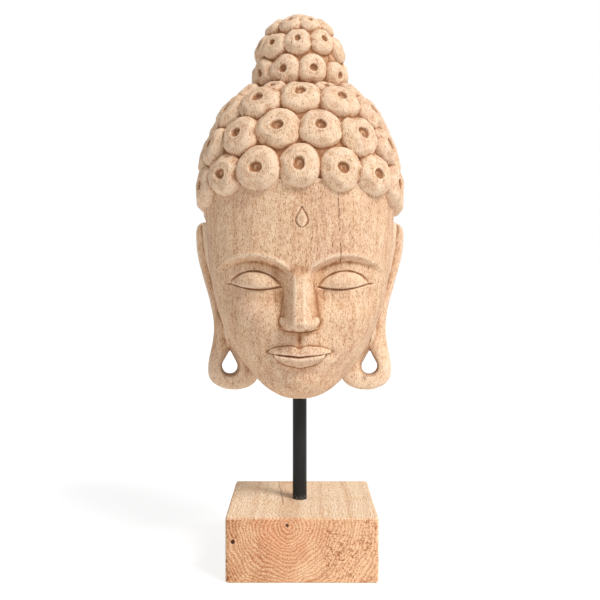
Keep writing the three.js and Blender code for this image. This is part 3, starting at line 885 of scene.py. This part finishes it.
# Distance from a middle line, and the waves of the rings round it, both wandering with the log
def growthRings(tree, grain, sideways, upward, wander, pitch):
    across = addNode(tree, "CombineXYZ", sideways, upward)
    reach = addNode(tree, "VectorMath", across, operation="LENGTH", out=1)
    away = reach
    for name, size in zip(("wander", "sway"), wander):
        away = addNode(tree, "Math", grain[name], size * mm, away, operation="MULTIPLY_ADD")
    phase = addNode(tree, "Math", away, turn / (pitch * mm), operation="MULTIPLY")
    return reach, away, addNode(tree, "Math", phase, operation="SINE")


def sawnPine():
    material, tree = emptyMaterial("sawn_pine")
    place = addNode(tree, "TexCoord", out="Object")
    grain = drawnGrains(tree, place, blockWood["grains"], axis=1)
    sway, fibre, dust, patch = (grain[name] for name in ("sway", "fibre", "dust", "patch"))
    across, deep, up = addNode(tree, "SeparateXYZ", place, out=None)
    normal = addNode(tree, "SeparateXYZ", addNode(tree, "NewGeometry", out="Normal"), out=None)
    facing = addNode(tree, "Math", normal[1], operation="ABSOLUTE")
    endGrain = addNode(tree, "MapRange", facing, 0.6, 0.8, 0, 1)
    upGrain = addNode(tree, "MapRange", normal[2], 0.6, 0.8, 0, 1)

    logX, logZ = (distance * mm for distance in blockWood["logMiddle"])
    x = addNode(tree, "Math", across, logX, operation="SUBTRACT")
    z = addNode(tree, "Math", up, logZ, operation="SUBTRACT")
    reach, away, ring = growthRings(tree, grain, x, z, blockWood["ringWander"], blockWood["ringPitch"])

    spokes, breaks = blockWood["rays"]
    bearing = addNode(tree, "Math", z, x, operation="ARCTAN2")
    rayPlace = addNode(tree, "CombineXYZ", addNode(tree, "Math", bearing, spokes, operation="MULTIPLY"),
                       addNode(tree, "Math", reach, breaks, operation="MULTIPLY"))
    ray = addNode(tree, "TexNoise", rayPlace, named={"Scale": 1.0, "Detail": 3.0, "Distortion": 0.8})
    bandPlace = addNode(tree, "CombineXYZ", away)
    band = addNode(tree, "TexNoise", bandPlace, named={"Scale": blockWood["bandsPerMetre"], "Detail": 2.0})

    swirlX, swirlY = (distance * mm for distance in blockWood["swirlMiddle"])
    sideways = addNode(tree, "Math", across, swirlX, operation="SUBTRACT")
    backward = addNode(tree, "Math", deep, swirlY, operation="SUBTRACT")
    backward = addNode(tree, "Math", backward, blockWood["swirlSquash"], operation="MULTIPLY")
    swirl = growthRings(tree, grain, sideways, backward, blockWood["swirlWander"], blockWood["swirlPitch"])[2]

    beside = addNode(tree, "Math", addNode(tree, "Math", x, -4 * mm, operation="ADD"), operation="ABSOLUTE")
    torn = product(tree, [(ray, 0.5, 0.38, 0, 1), endGrain, (beside, 16 * mm, 30 * mm, 0.15, 0.9),
                          (patch, 0.58, 0.42, 0.3, 1)])
    crackAside, crackSlant = blockWood["topCrack"]
    line = addNode(tree, "Math", across, crackAside * mm, operation="ADD")
    line = addNode(tree, "Math", deep, crackSlant, line, operation="MULTIPLY_ADD")
    line = addNode(tree, "Math", sway, blockWood["topCrackWander"] * mm, line, operation="MULTIPLY_ADD")
    crackGap = addNode(tree, "Math", line, operation="ABSOLUTE")

    left, right = (linear(code) for code in blockWood["front"])
    front = addNode(tree, "Mix", addNode(tree, "MapRange", x, -40 * mm, 50 * mm, 0, 1),
                    named={6: left, 7: right}, out=2, data_type="RGBA", blend_type="MIX")
    layers = [
        ("MIX", front, endGrain),
        ("MIX", "#dc986e", (away, 55 * mm, 25 * mm, 0, 0.75), endGrain),
        ("MIX", "#c68e60", (band, 0.45, 0.62, 0, 0.4)),
        ("MIX", "#ecc8a0", (patch, 0.5, 0.7, 0, 0.5)),
        ("MULTIPLY", "#cc9c72", (ring, 0.2, 1, 0, 1), (endGrain, 0, 1, 0.12, 0.5)),
        ("MIX", "#f2d0aa", (ring, -0.4, -1, 0, 1), (endGrain, 0, 1, 0.08, 0.35)),
        ("MULTIPLY", "#d9b894", (swirl, 0.1, 1, 0, 0.5), upGrain),
        ("MULTIPLY", "#b98c60", torn),
        ("MIX", "#f3dcbb", (fibre, 0.54, 0.7, 0, 0.5)),
        ("MULTIPLY", "#cfb394", (fibre, 0.47, 0.33, 0, 0.8)),
        ("MULTIPLY", "#c09c78", (dust, 0.45, 0.33, 0, 0.8)),
        ("MIX", "#f6e0c3", (dust, 0.57, 0.68, 0, 0.4)),
        ("MIX", "#7d5636", (crackGap, 0.7 * mm, 0.3 * mm, 0, 0.6), upGrain, (deep, -26 * mm, -18 * mm, 0, 1)),
        ("MIX", "#38221a", (reach, 2 * mm, 1 * mm, 0, 0.9), endGrain),  # the pith
    ]
    for tint, middle, radius in blockWood["spots"]:
        centre = [distance * mm for distance in middle]
        gap = addNode(tree, "VectorMath", place, centre, operation="DISTANCE", out=1)
        gap = addNode(tree, "Math", sway, radius * mm, gap, operation="MULTIPLY_ADD")
        layers.append(("MIX", tint, (gap, 1.6 * radius * mm, 1.3 * radius * mm, 0, 1)))
    colour = tinted(tree, linear(blockWood["colour"]), layers)

    height = addNode(tree, "Math", ring, 0.08, dust, operation="MULTIPLY_ADD")
    height = addNode(tree, "Math", torn, -0.7, height, operation="MULTIPLY_ADD")
    bump = addNode(tree, "Bump", named={
        "Height": height, "Strength": blockWood["reliefStrength"], "Distance": blockWood["relief"] * mm})
    surface = addNode(tree, "BsdfPrincipled", named={
        "Base Color": colour, "Normal": bump, "Roughness": blockWood["roughness"],
        "IOR": blockWood["ior"], "Specular IOR Level": blockWood["specular"]})
    addNode(tree, "OutputMaterial", surface, out=None)
    return material


# Black satin paint sprayed on bar steel: a little uneven, with fine specks of about a millimetre, and scuffed
# where the rod enters the block
rodPaint = {
    "grains": {"cloud": (8, 30, 3.0, 0.0), "speck": (0.8, 2, 3.0, 0.0)},
    "colour": "#262625", "cloudy": "#313130", "scuffed": "#8a8580",
    "scuffHeight": 5,
    "roughness": (0.2, 0.3),
    "ior": 1.5,
    "specular": 0.1,  # low, so that the white floor doesn't turn the paint grey
    "relief": 0.2, "reliefStrength": 0.12,
}


def paintedSteel():
    material, tree = emptyMaterial("black_satin_paint_on_steel")
    place = addNode(tree, "TexCoord", out="Object")
    grain = drawnGrains(tree, place, rodPaint["grains"])
    level = addNode(tree, "SeparateXYZ", place, out=2)
    foot = blockHigh[2]
    colour = tinted(tree, linear(rodPaint["colour"]), [
        ("MIX", rodPaint["cloudy"], (grain["cloud"], 0.4, 0.65, 0, 0.6)),
        ("MIX", rodPaint["scuffed"], (level, foot + rodPaint["scuffHeight"] * mm, foot, 0, 1),
         (grain["speck"], 0.5, 0.6, 0, 0.8)),
    ])
    bump = addNode(tree, "Bump", named={
        "Height": grain["speck"], "Strength": rodPaint["reliefStrength"], "Distance": rodPaint["relief"] * mm})
    surface = addNode(tree, "BsdfPrincipled", named={
        "Base Color": colour, "Normal": bump,
        "IOR": rodPaint["ior"], "Specular IOR Level": rodPaint["specular"],
        "Roughness": addNode(tree, "MapRange", grain["cloud"], 0.3, 0.7, *rodPaint["roughness"])})
    addNode(tree, "OutputMaterial", surface, out=None)
    return material


albesia = carvedAlbesia()
for piece in (face, hair):
    piece.data.materials.append(albesia)
    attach(piece, "root")
    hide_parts("buddha_head")

# The block's shape is right as it is, so it only takes its wood
pine = sawnPine()
for slot in bpy.data.objects["base_block"].material_slots:
    slot.material = pine
print("woods done")

# The rod is turned again with a smooth wall and a small bevel at each end
rodTurning = {"rings": 60, "sides": 64, "lowBevel": 0.4, "highBevel": 0.6}


def roundRod():
    lowBevel, highBevel = rodTurning["lowBevel"] * mm, rodTurning["highBevel"] * mm
    low, high = rodLow[2], rodHigh[2]
    middles = np.linspace(low + lowBevel, high - highBevel, rodTurning["rings"])
    level = np.concatenate([[low], middles, [high]])[:, None]
    wall = np.full_like(level, (rodHigh[0] - rodLow[0]) / 2)
    wall[0] -= lowBevel
    wall[-1] -= highBevel
    angle = np.linspace(0, turn, rodTurning["sides"], endpoint=False)[None, :]
    x = rodMiddle * mm + wall * np.cos(angle)
    return closedGrid(np.stack([x, wall * np.sin(angle), level + 0 * angle], -1))


rod = meshObject("steel_rod", *roundRod())
rod.data.materials.append(paintedSteel())
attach(rod, "root")
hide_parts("rod")
print("rod done")

# The studio is white to look at, on a pale matt floor that glows a little. Its soft light is stronger from
# above and from the right, and one broad lamp stands high at the right.
studio = {
    "left": 0.22, "right": 0.62, "rise": 0.22,
    "lampPlace": (0.62, -0.62, 1.1), "lampTarget": (0, 0, 0.25), "lampEnergy": 2.75, "lampAngle": 22,
    "floorReach": 6, "floorGrey": 0.3, "floorRoughness": 0.9, "floorGlow": 0.76,
}
white = (1, 1, 1, 1)

floorMaterial, floorTree = emptyMaterial("matt_studio_floor")
floorSurface = addNode(floorTree, "BsdfPrincipled", named={
    "Base Color": [studio["floorGrey"]] * 3 + [1], "Roughness": studio["floorRoughness"],
    "Emission Color": white, "Emission Strength": studio["floorGlow"]})
addNode(floorTree, "OutputMaterial", floorSurface, out=None)
floorCorners = np.array([[-1, -1, 0], [1, -1, 0], [1, 1, 0], [-1, 1, 0]], float) * studio["floorReach"]
floor = meshObject("floor", floorCorners, [(0, 1, 2, 3)])
floor.data.materials.append(floorMaterial)

world = bpy.data.worlds.new("studio")
world.use_nodes = True
room = world.node_tree
toWall = addNode(room, "SeparateXYZ", addNode(room, "TexCoord", out="Generated"), out=None)
rightward = addNode(room, "MapRange", toWall[0], -1, 1, studio["left"], studio["right"])
upward = addNode(room, "MapRange", toWall[2], -1, 1, -studio["rise"], studio["rise"])
shade = addNode(room, "Math", rightward, upward, operation="ADD")
seen = addNode(room, "LightPath", out="Is Camera Ray")
background = room.nodes["Background"]
background.inputs["Color"].default_value = white
room.links.new(addNode(room, "Mix", seen, named={2: shade, 3: 1.0}), background.inputs["Strength"])
bpy.context.scene.world = world
bpy.context.scene.view_settings.view_transform = "Standard"

lampData = bpy.data.lights.new("key", "SUN")
lampData.energy = studio["lampEnergy"]
lampData.angle = math.radians(studio["lampAngle"])
lamp = bpy.data.objects.new("key", lampData)
lamp.location = studio["lampPlace"]
aim = Vector(studio["lampPlace"]) - Vector(studio["lampTarget"])
lamp.rotation_euler = aim.to_track_quat("Z", "Y").to_euler()
bpy.context.collection.objects.link(lamp)
print("studio done")
